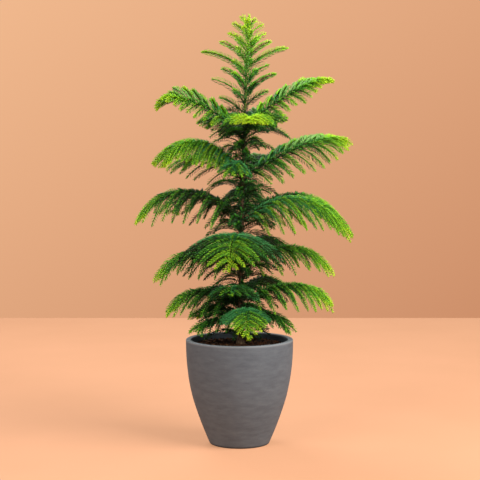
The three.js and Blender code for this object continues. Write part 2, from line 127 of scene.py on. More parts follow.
# The leader: its green sheath, and its shoots in pairs, of which some are longer than the rest
LEADER = Values(
    sheath=0.6, sheath_taper=0.6, overlap=10, steps=90, sides=12,
    first=659, last=825, climb=0.9, pairs=15, shortest=14, growth=0.5, longest=46,
    long_pairs={6: 1.7, 2: 1.25}, turn=1.2, turn_jitter=0.2, jitter=0.16, stagger=14, evens=1.3,
    rise=1.36, rise_loss=0.0056, droop=0.42, curve=1.3,
    oldest=0.03, youngest=0.55, tip=0.4, bare=0.06, needle=1.15, dense=0.88,
)

# Short shoots on the trunk between the whorls, with dark tints for old growth and for painted shade inside
# the crown
INNER = Values(
    first=206, last=645, pitch=3.0, shortest=16, growth=58, fade=44, jitter=0.25, turn_jitter=0.4,
    rise=0.75, rise_jitter=0.25, droop=0.75, curve=1.15,
    oldest=-0.14, youngest=0.08, tip=0.15, bare=0.05, needle=1.1, dense=0.65,
)

# Needles on the trunk itself, from one height to another: how dense, and how fresh low down and high up; the
# low freshness gives dark tints, for old growth and painted shade inside the crown
Span = namedtuple("Span", "group low high dense old young")
TRUNK_SPANS = (
    Span("skirt", 226, 410, 0.7, -0.2, -0.1),
    Span("middle", 410, 540, 0.9, -0.2, -0.1),
    Span("crown", 540, TRUNK.top + 1, 1.3, -0.15, 1.0),
)
TRUNK_NEEDLE = 0.9

# Needles: a keeled blade that leaves its shoot at one angle and bends in to another at its elbow
NEEDLE = Values(
    whorl=1.6, least_whorls=3, ranks=2, length=11.0, foot_width=1.6, elbow_width=2.1, keel=1.0, elbow=0.58,
    sunk=0.6, opening=54, closing=32, angle_jitter=0.08, turn_jitter=0.1, place_jitter=0.2, spread=0.1,
    longest=1.12, taper=0.42, end_from=0.84, end_loss=0.3, end_opening=0.55, end_closing=0.7,
    root_share=0.7, root_gain=0.3, root_span=0.1, root_lead=0.03,
)

Bough = namedtuple(
    "Bough",
    "side at azimuth reach heights fresh outer tips width taper droop fan roll close needles",
    defaults=(0.0, 0.75, 0.3, 1.0, 1.0, 1.0, 1.0, 1.0, 1.0, 1.0),
)
Tier = namedtuple("Tier", "name knee crown spread fade lift roll droop boughs")

# Each tier: the shares of the reach at knee and crown, then its twigs' length, fade, lift, roll and droop.
# Each bough: where it leaves the trunk, its heading, reach and heights at knee, crown and tip.
# Then how fresh its growth is, also outwards and at twig tips, and the shares of its tier's length, fade,
# droop, angles, roll, pitch and needle length that its twigs have.
TIERS = (
    Tier("tier_1", 0.4, 0.8, 54, 2.2, 30, 38, 0.42, (
        Bough("left", 615, 182, 170, (50, 92, 46), fresh=0.4, outer=0.22, width=0.88, fan=1.35,
              close=0.95, needles=1.15),
        Bough("right", 629, 8, 174, (52, 96, 86), fresh=0.34, outer=0.7, width=0.85, fan=1.3,
              close=0.88, needles=1.1),
        Bough("front", 608, 275, 145, (22, 40, 27), fresh=0.32, outer=1.5, tips=-0.3, width=1.15, droop=1.4,
              fan=1.4, needles=1.2),
        Bough("back_right", 620, 62, 140, (34, 42, 12)),
        Bough("back_left", 612, 122, 140, (34, 44, 12)),
    )),
    Tier("tier_2", 0.4, 0.8, 76, 2.6, 18, 36, 0.5, (
        Bough("left", 538, 208, 168, (74, 76, 14), fresh=0.33, outer=0.2, tips=0.35, width=0.8, droop=1.5,
              fan=0.8, roll=0.25, close=0.5),
        Bough("right", 523, 10, 206, (60, 86, 76), fresh=0.2, outer=0.74, width=0.98, fan=1.2, roll=0.75,
              close=0.85, needles=1.25),
        Bough("front", 534, 256, 80, (26, 28, 2), fresh=0.04, outer=0.35, tips=0.35, width=0.55, droop=1.4),
        Bough("back_right", 514, 70, 170, (50, 68, 30), width=0.8),
        Bough("back_left", 520, 136, 168, (50, 66, 20)),
    )),
    Tier("tier_3", 0.45, 0.75, 84, 3.5, 12, 8, 0.84, (
        Bough("left", 449, 183, 196, (66, 66, 0), fresh=0.09, outer=0.6, width=0.88, fan=1.2),
        Bough("right", 437, 345, 193, (78, 56, -10), fresh=0.34, outer=0.2, tips=0.25, width=0.92, fan=0.65,
              close=0.8),
        Bough("back_right", 454, 32, 202, (46, 44, 8), fresh=0.08, width=0.9),
        Bough("back", 443, 88, 180, (58, 82, 20), fresh=-0.1),
        Bough("back_left", 434, 138, 190, (62, 88, 16), fresh=-0.1, width=0.8, droop=0.8),
    )),
    Tier("tier_4", 0.45, 0.75, 72, 3.5, 10, 4, 0.8, (
        Bough("left", 350, 187, 156, (46, 40, -17), fresh=0.04, outer=0.6, width=0.85),
        Bough("right", 358, 4, 167, (42, 40, -8), fresh=0.21, outer=0.5, width=0.9, close=1.1),
        Bough("front", 351, 260, 130, (92, 80, 4), fresh=0.02, outer=1.2, tips=-0.25, width=1.35, taper=0.5,
              droop=0.62, fan=1.45, close=0.55, needles=1.1),
        Bough("back_right", 365, 62, 155, (40, 52, 6), fresh=-0.08),
        Bough("back_left", 357, 128, 155, (32, 40, 0), fresh=-0.08),
    )),
    Tier("tier_5", 0.45, 0.75, 62, 3.5, 8, 4, 0.76, (
        Bough("left", 275, 184, 131, (38, 42, -8), fresh=0.06, outer=0.6, width=0.95),
        Bough("right", 284, 356, 171, (38, 44, 0), fresh=0.23, outer=0.45),
        Bough("front", 278, 258, 76, (36, 46, 26), fresh=-0.05, outer=0.4, tips=0.1, width=0.8, taper=0.6,
              droop=0.5, fan=1.45, close=0.7),
        Bough("back_right", 291, 58, 134, (30, 44, 6), fresh=-0.08),
        Bough("back_left", 283, 122, 134, (20, 26, 0), fresh=-0.08),
    )),
    Tier("tier_6", 0.45, 0.75, 46, 3.5, 6, 0, 0.68, (
        Bough("front", 244, 277, 116, (32, 48, -20), fresh=0.05, outer=0.85, tips=0.1, width=1.15, taper=0.7,
              droop=0.6, fan=1.15, close=0.75),
        Bough("left", 246, 204, 88, (8, 4, -16), fresh=-0.06, outer=0.5, droop=0.75, close=1.1),
        Bough("right", 247, 350, 92, (20, 20, -24), fresh=-0.04, outer=0.5, droop=0.75, close=0.9),
        Bough("back_right", 257, 66, 92, (16, 18, -24), fresh=-0.1),
        Bough("back_left", 252, 146, 104, (20, 22, -10), fresh=-0.06, width=0.9, droop=0.7),
    )),
)

# The tier whose foliage sits on the trunk, with no boughs among the solids
SESSILE = "tier_6"

# The pieces that needles and twigs are joined into, by the tiers that they grow on
GROUPS = dict(leader="crown", tier_1="crown", tier_2="crown", tier_3="middle",
              tier_4="skirt", tier_5="skirt", tier_6="skirt")

# Needle tints from old to fresh growth, as screen colours, then two pale ones; the darkest, shadow, also
# serves as painted shade.
# The steps are the freshness where each tint but the first begins, the spans that in which a pale one shows.
TINTS = dict(shadow=(18, 54, 12), deep=(43, 108, 25), leaf=(86, 156, 32), fresh=(132, 192, 34),
             lime=(174, 216, 32), teal=(56, 130, 68), sage=(118, 168, 80))
TINT_STEPS = (0.1, 0.3, 0.52, 0.74)
PALE_SPANS = dict(teal=(-0.02, 0.42), sage=(0.1, 0.62))

# Needles on top of a shoot get fresher, lighter tints, a painted light from above, and those beneath darker
# ones, a painted shade; tints also differ by chance, and both less so on fresh growth
UNEVEN_AND_TOP_LIGHT = Values(upward=0.2, jitter=0.06, loss=0.6, loss_from=0.35, loss_to=0.8)

# The boughs that show their tops, with teal crests as far along as this share
CRESTS = {("tier_2", "left"): 0.45, ("tier_2", "front"): 0.6, ("tier_3", "right"): 0.6,
          ("tier_4", "front"): 0.6, ("tier_5", "front"): 0.6, ("tier_6", "front"): 0.6}

# The stage, in metres: floor, lights with place, power, size and colour, and the background
FLOOR = Values(
    half_width=6.0, half_depth=1.9, dark=(156, 112, 84), light=(162, 117, 89), glow=(250, 186, 140),
    glow_strength=0.44,
)
LIGHTS = dict(
    key=((2.2, -1.4, 2.3), 204, 2.4, (1.0, 0.98, 0.95)),
    fill=((-1.8, -2.0, 1.7), 54, 1.8, (1.0, 0.98, 0.96)),
    back=((-0.8, 1.6, 2.2), 40, 1.4, (1.0, 0.97, 0.94)),
)
LIGHT_TARGET = (0, 0, 0.45)
BACKDROP = Values(slope=(-1.4, 0, 2.1), shift=0.54, low=(204, 142, 105), high=(242, 186, 143), ambient=0.3)

# The uses of the fixed jitters, so that no two share one, and the numbers set aside for a tier's boughs
LENGTH, ANGLE, LIFT, SAG, SHOOT_LENGTH, SHOOT_TURN, MOOD, INNER_SHOOT = range(1, 9)
INNER_LENGTH, INNER_TURN, INNER_RISE = range(1, 4)
NUMBERS_PER_TIER = 10

# A sine times this has far digits that serve as fixed noise
SCATTER = 43758.5453


def wobble(a, b, c):
    """A fixed number from -1 to 1 for each bough, twig and use."""
    value = math.sin(a * 12.9898 + b * 78.233 + c * 37.719) * SCATTER
    return 2 * (value - math.floor(value)) - 1


def lerp(a, b, share):
    return a + (b - a) * share


def smoothstep(low, high, value):
    share = np.clip((value - low) / (high - low), 0, 1)
    return share * share * (3 - 2 * share)


def unit(vectors):
    return vectors / np.linalg.norm(vectors, axis=-1, keepdims=True)


def heading_of(turn):
    """The level way that a turn in radians points."""
    return np.array((math.cos(turn), math.sin(turn), 0.0))


def lattice(column, row):
    """A fixed number from 0 to 1 for each cell of a grid."""
    value = np.sin(column * 127.1 + row * 311.7) * SCATTER
    return value - np.floor(value)


def smooth_noise(x, y, wrap=10007):
    """Smooth noise from 0 to 1 that repeats in x after wrap cells."""
    column, row = np.floor(x), np.floor(y)
    across, along = smoothstep(0, 1, x - column), smoothstep(0, 1, y - row)
    left, right = column % wrap, (column + 1) % wrap
    near = lerp(lattice(left, row), lattice(right, row), across)
    far = lerp(lattice(left, row + 1), lattice(right, row + 1), across)
    return lerp(near, far, along)


def screen(red, green, blue):
    """A screen colour from 0 to 255 as a linear colour, by the usual curve for screens."""
    return tuple(((c / 255 + 0.055) / 1.055) ** 2.4 if c > 10 else c / 3294.6 for c in (red, green, blue))


# Meshes from arrays

def make_piece(name, points, triangles, material, slot, nodes=(), smooth=True):
    """A piece of the object from points in millimetres."""
    mesh = bpy.data.meshes.new(name)
    triangles = np.asarray(triangles, dtype=np.int32)
    mesh.vertices.add(len(points))
    mesh.vertices.foreach_set("co", (points * MM).astype(np.float32).ravel())
    mesh.loops.add(triangles.size)
    mesh.loops.foreach_set("vertex_index", triangles.ravel())
    mesh.polygons.add(len(triangles))
    mesh.polygons.foreach_set("loop_start", np.arange(0, triangles.size, 3, dtype=np.int32))
    mesh.polygons.foreach_set("use_smooth", np.full(len(triangles), smooth))
    mesh.update(calc_edges=True)
    mesh.materials.append(material)
    piece = bpy.data.objects.new(name, mesh)
    bpy.context.scene.collection.objects.link(piece)
    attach(piece, BODY)
    if nodes:
        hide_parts(*nodes)


def joined(parts):
    """Several (points, triangles) as one."""
    starts = np.cumsum([0] + [len(points) for points, _ in parts[:-1]])
    points = np.concatenate([points for points, _ in parts])
    triangles = np.concatenate([faces + start for (_, faces), start in zip(parts, starts)])
    return points, triangles


def ring_faces(rings, sides):
    """Triangles between rings of points that turn anticlockwise about the way from ring to ring."""
    ring, side = np.meshgrid(np.arange(rings - 1), np.arange(sides), indexing="ij")
    a = ring * sides + side
    b = ring * sides + (side + 1) % sides
    lower = np.stack([a, b, b + sides], -1)
    upper = np.stack([a, b + sides, a + sides], -1)
    return np.concatenate([lower, upper]).reshape(-1, 3)


def closed_rings(points, sides):
    """Rings of points, shaped (ring, side, xyz), with a middle point over each open end."""
    rings = len(points)
    flat = points.reshape(-1, 3)
    ends = np.stack([points[0].mean(axis=0), points[-1].mean(axis=0)])
    side = np.arange(sides)
    after = (side + 1) % sides
    last = (rings - 1) * sides
    foot = np.stack([np.full(sides, len(flat)), after, side], -1)
    tip = np.stack([np.full(sides, len(flat) + 1), last + side, last + after], -1)
    return np.concatenate([flat, ends]), np.concatenate([ring_faces(rings, sides), foot, tip])


def turned(profile, sides, relief):
    """A closed lathe form from (radius, height) points that start and end on the axis, with a relief."""
    angle = np.arange(sides) * FULL_TURN / sides
    radius = np.repeat(profile[1:-1, :1], sides, axis=1)
    height = np.repeat(profile[1:-1, 1:], sides, axis=1)
    radius, height = relief(radius, height, angle[None, :])
    points = np.stack([radius * np.cos(angle), radius * np.sin(angle), height], -1)
    return closed_rings(points, sides)


def frames(path, u, side):
    """Points along a path, with the way along it and two ways square to that."""
    step = 1e-3
    along = unit(path(u + step) - path(u - step))
    rise = unit(np.cross(along, side))
    return path(u), along, np.cross(rise, along), rise


def limb(path, side, radius_at, steps, sides, relief=None):
    """A tapering limb with a closed foot and tip."""
    u = np.linspace(0, 1, steps + 1)
    centre, _, across, rise = frames(path, u, side)
    angle = np.arange(sides) * FULL_TURN / sides
    radius = np.repeat(radius_at(u)[:, None], sides, axis=1)
    if relief is not None:
        radius = radius * relief(u[:, None], angle[None, :])
    ring = across[:, None] * np.cos(angle)[None, :, None] + rise[:, None] * np.sin(angle)[None, :, None]
    points = centre[:, None] + ring * radius[..., None]
    return closed_rings(points[:, ::-1], sides)


# Materials

def new_material(name, roughness, specular):
    material = bpy.data.materials.new(name)
    material.use_nodes = True
    shader = material.node_tree.nodes["Principled BSDF"]
    shader.inputs["Roughness"].default_value = roughness
    shader.inputs["Specular IOR Level"].default_value = specular
    return material, material.node_tree, shader


def noise_node(tree, scale, detail, rough=0.55, stretch=(1, 1, 1)):
    nodes, links = tree.nodes, tree.links
    place = nodes.new("ShaderNodeTexCoord")
    mapping = nodes.new("ShaderNodeMapping")
    mapping.inputs["Scale"].default_value = stretch
    noise = nodes.new("ShaderNodeTexNoise")
    noise.inputs["Scale"].default_value = scale
    noise.inputs["Detail"].default_value = detail
    noise.inputs["Roughness"].default_value = rough
    links.new(place.outputs["Object"], mapping.inputs["Vector"])
    links.new(mapping.outputs["Vector"], noise.inputs["Vector"])
    return noise.outputs[0]


def colour_ramp(tree, factor, stops):
    """Colours at places along a ramp."""
    ramp = tree.nodes.new("ShaderNodeValToRGB")
    points = ramp.color_ramp.elements
    while len(points) < len(stops):
        points.new(0.5)
    for point, (place, colour) in zip(points, stops):
        point.position = place
        point.color = (*colour, 1)
    tree.links.new(factor, ramp.inputs["Fac"])
    return ramp.outputs["Color"]


def add_colours(tree, shader, factor, stops):
    tree.links.new(colour_ramp(tree, factor, stops), shader.inputs["Base Color"])


def add_tones(tree, shader, factor, dark, light):
    """A dark and a light colour at the places between which most noise falls."""
    add_colours(tree, shader, factor, ((0.3, dark), (0.7, light)))


def add_bump(tree, shader, factor, depth, strength):
    """A bump whose depth is in metres."""
    bump = tree.nodes.new("ShaderNodeBump")
    bump.inputs["Strength"].default_value = strength
    bump.inputs["Distance"].default_value = depth
    tree.links.new(factor, bump.inputs["Height"])
    tree.links.new(bump.outputs["Normal"], shader.inputs["Normal"])


def add_roughness(tree, shader, factor, low, high):
    span = tree.nodes.new("ShaderNodeMapRange")
    span.inputs["To Min"].default_value = low
    span.inputs["To Max"].default_value = high
    tree.links.new(factor, span.inputs["Value"])
    tree.links.new(span.outputs["Result"], shader.inputs["Roughness"])


def shaded(colour, factor):
    return tuple(c * factor for c in colour)


def needle_material(name, colour):
    """A waxy needle, a little uneven in tone."""
    material, tree, shader = new_material(name, roughness=0.45, specular=0.22)
    tone = noise_node(tree, scale=260, detail=2)
    add_tones(tree, shader, tone, shaded(colour, 0.7), shaded(colour, 1.25))
    add_roughness(tree, shader, tone, low=0.36, high=0.56)
    return material


def twig_material(name, dark, light):
    """Thin bark, in two screen colours."""
    material, tree, shader = new_material(name, roughness=0.7, specular=0.3)
    tone = noise_node(tree, scale=420, detail=3)
    add_tones(tree, shader, tone, screen(*dark), screen(*light))
    add_bump(tree, shader, tone, depth=0.0004, strength=0.5)
    return material


def bark_material():
    """Brown bark, darker in its cracks, with paler flakes."""
    material, tree, shader = new_material("bark", roughness=0.85, specular=0.2)
    flakes = noise_node(tree, scale=330, detail=6, rough=0.65, stretch=(1, 1, 0.55))
    stops = ((0.28, screen(34, 24, 16)), (0.48, screen(70, 52, 36)), (0.62, screen(98, 76, 54)),
             (0.78, screen(130, 108, 82)))
    add_colours(tree, shader, flakes, stops)
    add_bump(tree, shader, flakes, depth=0.0008, strength=0.8)
    add_roughness(tree, shader, flakes, low=0.95, high=0.7)
    return material


def pot_material():
    """Matt charcoal, cast, with faint level streaks, fine pores, a painted highlight on the rim's top edge
    and a painted contact shadow at the foot.
    """
    material, tree, shader = new_material("charcoal", roughness=0.78, specular=0.3)
    nodes, links = tree.nodes, tree.links
    streaks = noise_node(tree, scale=34, detail=8, rough=0.66, stretch=(1, 1, 3.5))
    stops = ((0.3, screen(74, 80, 87)), (0.5, screen(82, 89, 96)), (0.7, screen(90, 97, 103)))
    body = colour_ramp(tree, streaks, stops)
    place = nodes.new("ShaderNodeTexCoord")
    axes = nodes.new("ShaderNodeSeparateXYZ")
    links.new(place.outputs["Object"], axes.inputs["Vector"])

    def blended(under, low, high, colour):
        """A screen colour that comes in from one height to another."""
        span = nodes.new("ShaderNodeMapRange")
        span.inputs["From Min"].default_value = low * MM
        span.inputs["From Max"].default_value = high * MM
        links.new(axes.outputs["Z"], span.inputs["Value"])
        mix = nodes.new("ShaderNodeMix")
        mix.data_type = "RGBA"
        links.new(span.outputs["Result"], mix.inputs["Factor"])
        links.new(under, mix.inputs["A"])
        mix.inputs["B"].default_value = (*screen(*colour), 1)
        return mix.outputs["Result"]

    top, edge = POT.height, POT.edge
    # Between these heights the rim's top edge is paled: a painted highlight.
    low, high = (top - depth * edge for depth in POT.worn)
    worn = blended(body, low, high, colour=(114, 118, 122))
    # Near the floor the foot is darkened: a painted contact shadow.
    damp = blended(worn, low=POT.damp, high=0, colour=(18, 19, 20))
    links.new(damp, shader.inputs["Base Color"])
    pores = noise_node(tree, scale=520, detail=3, rough=0.5)
    add_bump(tree, shader, pores, depth=0.0005, strength=0.35)
    add_roughness(tree, shader, streaks, low=0.72, high=0.86)
    return material


def soil_material(name, dark, light):
    """Crumbs in two screen colours."""
    material, tree, shader = new_material(name, roughness=0.92, specular=0.2)
    crumbs = noise_node(tree, scale=240, detail=7, rough=0.7)
    add_tones(tree, shader, crumbs, screen(*dark), screen(*light))
    add_bump(tree, shader, crumbs, depth=0.0012, strength=0.8)
    return material


# The pot and its soil

def bezier(points, share):
    """Points along a cubic curve from its four control points."""
    a, b, c, d = (np.asarray(p, dtype=float) for p in points)
    s = share[:, None]
    return a * (1 - s) ** 3 + 3 * b * s * (1 - s) ** 2 + 3 * c * s * s * (1 - s) + d * s ** 3


def pot_outside(share):
    """The outer wall from foot to rim as (radius, height)."""
    foot = (POT.foot, 0)
    belly = (POT.foot + POT.flare[0], POT.flare[1])
    shoulder = (POT.rim, POT.height - POT.shoulder)
    return bezier((foot, belly, shoulder, (POT.rim, POT.height)), share)


def pot_inside(height):
    """The radius of the inner wall at a height."""
    wall = pot_outside(np.linspace(0, 1, POT.samples))
    return np.interp(height, wall[:, 1], wall[:, 0]) - POT.wall


def arc(centre, radius, start, end, count):
    turn = np.radians(np.linspace(start, end, count))
    return np.stack([centre[0] + radius * np.cos(turn), centre[1] + radius * np.sin(turn)], -1)


def make_pot():
    edge, top, outer = POT.edge, POT.height, POT.rim
    inner = outer - POT.wall
    foot_edge, edge_steps = POT.foot_edge, POT.edge_steps
    wall = pot_outside(np.linspace(0, 1, POT.wall_steps))
    wall = wall[(wall[:, 1] > edge) & (wall[:, 1] < top - edge)]
    depths = np.linspace(top - edge - POT.lip, POT.floor, POT.inner_steps)
    profile = np.concatenate([
        [(0, 0), (POT.foot * POT.underside, 0)],
        arc((POT.foot - POT.foot_inset, foot_edge), foot_edge, -90, -20, POT.foot_steps),
        wall,
        arc((outer - edge, top - edge), edge, 0, 90, edge_steps),
        arc((inner + edge, top - edge), edge, 90, 180, edge_steps),
        np.stack([pot_inside(depths), depths], -1),
        [(0, POT.floor)],
    ])

    def cast(radius, height, angle):
        """The slight unevenness of a cast wall, fading out at the flat underside."""
        cells, finer = CAST.cells, CAST.finer
        turn = angle / FULL_TURN * cells
        swell = smooth_noise(turn, height / CAST.swell_height, cells) - 0.5
        grain = smooth_noise(turn * finer, height / CAST.grain_height, cells * finer) - 0.5
        above = smoothstep(0, CAST.flat_foot, height)
        return radius + (CAST.swell * swell + CAST.grain * grain) * above, height

    points, triangles = turned(profile, POT.sides, cast)
    make_piece("pot_cast", points, triangles, pot_material(), "pot", ["pot"])


def soil_height(x, y):
    """The uneven top of the soil."""
    away = np.clip(np.hypot(x, y) / (POT.rim - POT.wall), 0, 1)
    height = lerp(SOIL.middle, SOIL.edge, away)
    for width, depth in SOIL.lumps:
        height = height + depth * (smooth_noise(x / width, y / width) - 0.5)
    return height


def make_soil():
    brim = SOIL.edge - SOIL.brim
    depths = np.linspace(POT.floor + SOIL.clear, brim, SOIL.steps)
    wall = np.stack([pot_inside(depths) - SOIL.clear, depths], -1)
    top = np.stack([np.linspace(wall[-1, 0], 0, SOIL.rings), np.full(SOIL.rings, brim)], -1)[1:]
    profile = np.concatenate([[(0, depths[0])], wall, top])

    def crumbs(radius, height, angle):
        """The lumps of the top, down to its outermost ring."""
        rough = soil_height(radius * np.cos(angle), radius * np.sin(angle))
        return radius, np.where(np.isclose(height, brim), rough, height)

    points, triangles = turned(profile, SOIL.sides, crumbs)
    bed = soil_material("soil", dark=(18, 10, 5), light=(48, 29, 16))
    make_piece("soil_bed", points, triangles, bed, "soil", ["soil"])


def bark_chip(x, y, length, width, thick):
    """A rough flake that lies on the soil."""
    corners, uneven = CHIP.corners, CHIP.uneven
    turn = np.arange(corners) * FULL_TURN / corners + rng.uniform(0, 1)
    rim = rng.uniform(*CHIP.outline, (2, corners))
    flat = np.stack([rim * np.cos(turn) * length / 2, rim * np.sin(turn) * width / 2], -1)
    level = np.array([-0.5, 0.5])[:, None] * thick + rng.uniform(-uneven, uneven, (2, corners)) * thick
    points = np.concatenate([flat, level[..., None]], -1)
    yaw = rng.uniform(0, FULL_TURN)
    pitch, roll = rng.normal(0, CHIP.slope), rng.normal(0, CHIP.slope)
    points[..., 2] += points[..., 0] * math.tan(pitch) + points[..., 1] * math.tan(roll)
    turned_x = points[..., 0] * math.cos(yaw) - points[..., 1] * math.sin(yaw)
    turned_y = points[..., 0] * math.sin(yaw) + points[..., 1] * math.cos(yaw)
    height = soil_height(np.array(x), np.array(y)) + thick * CHIP.ride
    placed = np.stack([turned_x + x, turned_y + y, points[..., 2] + height], -1)
    return closed_rings(placed, corners)


def make_chips():
    reach = POT.rim - POT.wall - CHIP.margin
    nearest = (CHIP.hole / reach) ** 2
    for tone, (share, dark, light) in CHIP_TONES.items():
        parts = []
        for _ in range(round(CHIP.count * share)):
            away = math.sqrt(rng.uniform(nearest, 1)) * reach
            turn = rng.uniform(0, FULL_TURN)
            length = rng.uniform(*CHIP.length)
            width = length * rng.uniform(*CHIP.width)
            thick = rng.uniform(*CHIP.thick)
            parts.append(bark_chip(away * math.cos(turn), away * math.sin(turn), length, width, thick))
        material = soil_material(f"chips_{tone}", dark, light)
        make_piece(f"soil_chips_{tone}", *joined(parts), material, "soil", smooth=False)


# The trunk and the boughs

def trunk_share(height):
    return (height - TRUNK.foot) / (TRUNK.top - TRUNK.foot)


def trunk_point(height):
    share = trunk_share(height)
    x = TRUNK.foot_x + TRUNK.lean * share * np.abs(share)
    return np.stack([x, TRUNK.sway * np.sin(math.pi * share), height], -1)


def trunk_radius(height):
    flare = TRUNK.flare * np.exp((TRUNK.foot - height) / TRUNK.flare_height)
    flare = np.minimum(flare, TRUNK.flare * TRUNK.flare_limit)
    return lerp(TRUNK.foot_radius, TRUNK.tip_radius, trunk_share(height)) + flare


def bark_relief(height, angle):
    """Flaking plates between cracks, in rings, with a collar below each whorl."""
    cells, finer, sparser = BARK.cells, BARK.flake_rows, BARK.crack_rows
    turn = angle / FULL_TURN * cells
    wave = BARK.wave * np.sin(height / BARK.wave_height)
    plates = smooth_noise(turn + wave, height / BARK.plate_height, cells)
    flakes = smooth_noise(turn * finer, height / BARK.flake_height, cells * finer)
    veins = smooth_noise(turn * sparser + BARK.crack_offset, height / BARK.crack_height, cells * sparser)
    cracks = np.abs(veins - 0.5) < BARK.crack_width
    drift = BARK.ring_drift * smooth_noise(turn, height / BARK.drift_height, cells)
    rings = BARK.ring * np.sin(height / BARK.ring_height + drift)
    collars = sum(
        BARK.collar * np.exp(-((height - bough.at + BARK.collar_drop) / BARK.collar_height) ** 2)
        for tier in TIERS for bough in tier.boughs
    )
    plain = BARK.least + BARK.plate * plates + BARK.flake * flakes
    return plain - BARK.crack * cracks + rings + collars


def trunk_span(low, high):
    """The path up the trunk from one height to another."""
    return lambda u: trunk_point(lerp(low, high, u))


def make_trunk():
    bottom, top = TRUNK.foot - TRUNK.sunk, TRUNK.bark_top
    steps = round((top - bottom) / TRUNK.step)

    def radius(u):
        return trunk_radius(lerp(bottom, top, u))

    def relief(u, angle):
        return bark_relief(lerp(bottom, top, u), angle)

    points, triangles = limb(trunk_span(bottom, top), SIDEWAYS, radius, steps, TRUNK.sides, relief)
    make_piece("trunk_bark", points, triangles, bark_material(), "bark", ["trunk"])


def bough_outward(bough):
    return heading_of(math.radians(bough.azimuth))


def bough_side(bough):
    """The level way square to a bough."""
    return np.cross(UP, bough_outward(bough))


def bough_path(tier, bough):
    root = trunk_point(bough.at)
    outward = bough_outward(bough) * bough.reach
    shares = (tier.knee, tier.crown, 1)
    controls = [root] + [root + outward * s + UP * h for s, h in zip(shares, bough.heights)]
    return lambda u: bezier(controls, u)


def bough_radius(bough):
    root = min(BOUGH.root_radius, BOUGH.root_share * float(trunk_radius(bough.at)))
    return lambda u: lerp(root, BOUGH.tip_radius, u)


def bough_relief(u, angle):
    """Old needle bases, which ring the bark in a spiral."""
    spiral = np.sin(angle * BASES.spirals + u * BASES.turns) * np.sin(u * BASES.rows)
    lumps = smooth_noise(angle * BASES.lumps_round, u * BASES.lumps_along) - 0.5
    return 1 + BASES.depth * spiral + BASES.lumps * lumps


def make_boughs():
    """Limbs in thin green-brown bark."""
    material = twig_material("bough_bark", dark=(30, 36, 16), light=(74, 70, 38))
    for tier in TIERS:
        parts = []
        for bough in tier.boughs:
            steps = round(bough.reach / BOUGH.step)
            path, radius = bough_path(tier, bough), bough_radius(bough)
            parts.append(limb(path, bough_side(bough), radius, steps, BOUGH.sides, bough_relief))
        nodes = [] if tier.name == SESSILE else [f"{tier.name}_{bough.side}_bough" for bough in tier.boughs]
        make_piece(f"{tier.name}_boughs", *joined(parts), material, "bark", nodes)


# Shoots: paths that carry needles. Each is a path from 0 to 1 with its length, a way square to its plane,
# the radii at root and tip, where its needles start, how long, dense and fresh they are, the pale tint that
# some of them have, if any, and whether it needs a twig under them.
Shoot = namedtuple(
    "Shoot", "group path run side radii start needle dense fresh pale twig", defaults=("", True)
)


def twig_length(tier, bough, place):
    """The length of a twig by its place on the bough, longest before the middle."""
    off = place - TWIG.longest_at
    if off > 0:
        faded = (off / TWIG.fades_out) ** (tier.fade * bough.taper)
    else:
        faded = (-off / TWIG.fades_in) ** TWIG.inner_fade
    return tier.spread * bough.width * max(TWIG.least, 1 - faded)


def twig_tilt(tier, bough, place, backward):
    """How far a twig is tilted up, or down if below 0, by how much it points away from the camera."""
    fade = 1 - float(smoothstep(TILT.fades_from, TILT.fades_to, place))
    return tier.roll * bough.roll * fade * backward


def pale_tint(tier, bough, place, tilt):
    """The pale tint of a twig on a crest or of one that is tilted up, and none on others."""
    raised = tilt > TILT.raised
    crest = place < CRESTS.get((tier.name, bough.side), 0)
    if crest or raised and place < TWIG_AGE.teal_to:
        return "teal"
    return "sage" if raised else ""


def sagging(root, heading, length, sag):
    """A path that leaves along a heading and sags more and more."""
    def path(u):
        u = u[:, None]
        return root + heading * length * u - UP * sag * u * np.abs(u)

    return path


def climbing(root, outward, run, rise, droop):
    """A path that climbs away from the trunk and levels out."""
    def path(u):
        u = u[:, None]
        return root + outward * run * u + UP * run * (rise * u - droop * u * u)

    return path


def twig_freshness(bough, mood, place):
    """How fresh a twig is along its length."""
    outer = bough.outer * float(smoothstep(TWIG_AGE.outer_from, 1.0, place))

    def fresh(u):
        outwards = outer * (TWIG_AGE.outer_root + TWIG_AGE.outer_gain * u)
        return mood + outwards + bough.tips * u ** TWIG_AGE.tip_power

    return fresh


